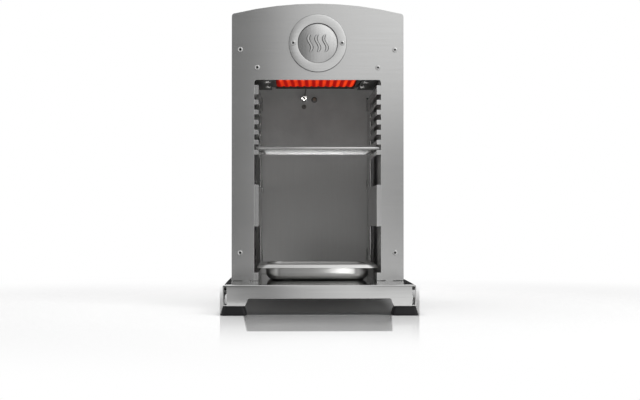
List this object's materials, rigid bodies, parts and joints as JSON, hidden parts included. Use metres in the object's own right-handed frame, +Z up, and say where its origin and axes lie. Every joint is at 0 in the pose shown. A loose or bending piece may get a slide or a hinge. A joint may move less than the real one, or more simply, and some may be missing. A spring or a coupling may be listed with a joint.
{
  "type": "top-heat grill",
  "caption": "Upright stainless grill with an infrared burner in its roof, slotted racks, a slide-in grate and pan, a front shelf and controls at the back.",
  "frame": {"origin": "centre of the grill's footprint on the surface it stands on", "axes": "+Z up, the open front faces -Y, +X to the right when seen from the front"},
  "size_m": [0.2674, 0.4827, 0.44],
  "materials": {
    "brushed_steel": "fine vertical brushing, satin",
    "cavity_steel": "smooth dull sheet, darkened by heat",
    "polished_steel": "bright drawn sheet and rod",
    "fastener_steel": "bright zinc",
    "brass": "machined",
    "copper": "drawn tube",
    "white_ceramic": "glazed",
    "burner_ceramic": "porous, glowing orange-red",
    "black_rubber": "moulded, matt",
    "black_plastic": "moulded, satin"
  },
  "bodies": {
    "cabinet": {"base_tray": "brushed_steel", "front_panel": "brushed_steel", "outer_casing": "brushed_steel", "rear_cover": "brushed_steel", "badge_ring": "brushed_steel", "badge_ground": "brushed_steel", "rack_plate_left": "brushed_steel", "rack_plate_right": "brushed_steel", "cavity_liner_left": "cavity_steel", "cavity_liner_right": "cavity_steel", "cavity_back_wall": "cavity_steel", "heat_shield": "cavity_steel", "burner_tile": "burner_ceramic", "burner_frame": "cavity_steel", "burner_plenum": "cavity_steel", "burner_rail_left": "cavity_steel", "burner_rail_right": "cavity_steel", "mixing_tube": "brushed_steel", "air_mixer": "brushed_steel", "injector": "brass", "injector_bracket": "cavity_steel", "gas_valve": "brass", "supply_pipe": "copper", "burner_pipe": "copper", "gas_inlet": "brass", "igniter_body": "black_plastic", "spark_insulator": "white_ceramic", "spark_wire": "fastener_steel", "spark_lead": "black_rubber", "sensor_collar": "fastener_steel", "sensor_tip": "copper", "sensor_lead": "copper", "foot_front_left": "black_rubber", "burner_bolt_front_left": "fastener_steel", "foot_front_right": "black_rubber", "burner_bolt_front_right": "fastener_steel", "foot_rear_left": "black_rubber", "burner_bolt_rear_left": "fastener_steel", "foot_rear_right": "black_rubber", "burner_bolt_rear_right": "fastener_steel", "panel_screw_low_left": "fastener_steel", "panel_screw_low_right": "fastener_steel", "panel_screw_high_left": "fastener_steel", "panel_screw_high_right": "fastener_steel", "burner_screw_left": "fastener_steel", "burner_screw_right": "fastener_steel", "badge_screw_left": "fastener_steel", "badge_screw_right": "fastener_steel", "cover_screw_low_left": "fastener_steel", "cover_screw_low_right": "fastener_steel", "cover_screw_high_left": "fastener_steel", "cover_screw_high_right": "fastener_steel", "electrode_screw": "fastener_steel"},
    "grate": {"grate": "polished_steel"},
    "pan": {"pan": "polished_steel"},
    "spindle": {"valve_spindle": "fastener_steel"},
    "knob": {"control_knob": "black_plastic"},
    "igniter_button": {"igniter_button": "black_plastic"}
  },
  "joints": [
    {"name": "grate_slide", "type": "slide", "parent": "cabinet", "child": "grate", "axis": [0, -1, 0], "range_m": [0, 0.18]},
    {"name": "pan_slide", "type": "slide", "parent": "cabinet", "child": "pan", "axis": [0, -1, 0], "range_m": [0, 0.18]},
    {"name": "spindle_push", "type": "slide", "parent": "cabinet", "child": "spindle", "axis": [0, -1, 0], "range_m": [0, 0.004], "stiffness_N_per_m": 800},
    {"name": "knob_turn", "type": "hinge", "parent": "spindle", "child": "knob", "pos_m": [0.045, 0.22135, 0.215], "axis": [0, 1, 0], "range_deg": [0, 210]},
    {"name": "igniter_push", "type": "slide", "parent": "cabinet", "child": "igniter_button", "axis": [0, -1, 0], "range_m": [0, 0.005], "stiffness_N_per_m": 600}
  ]
}
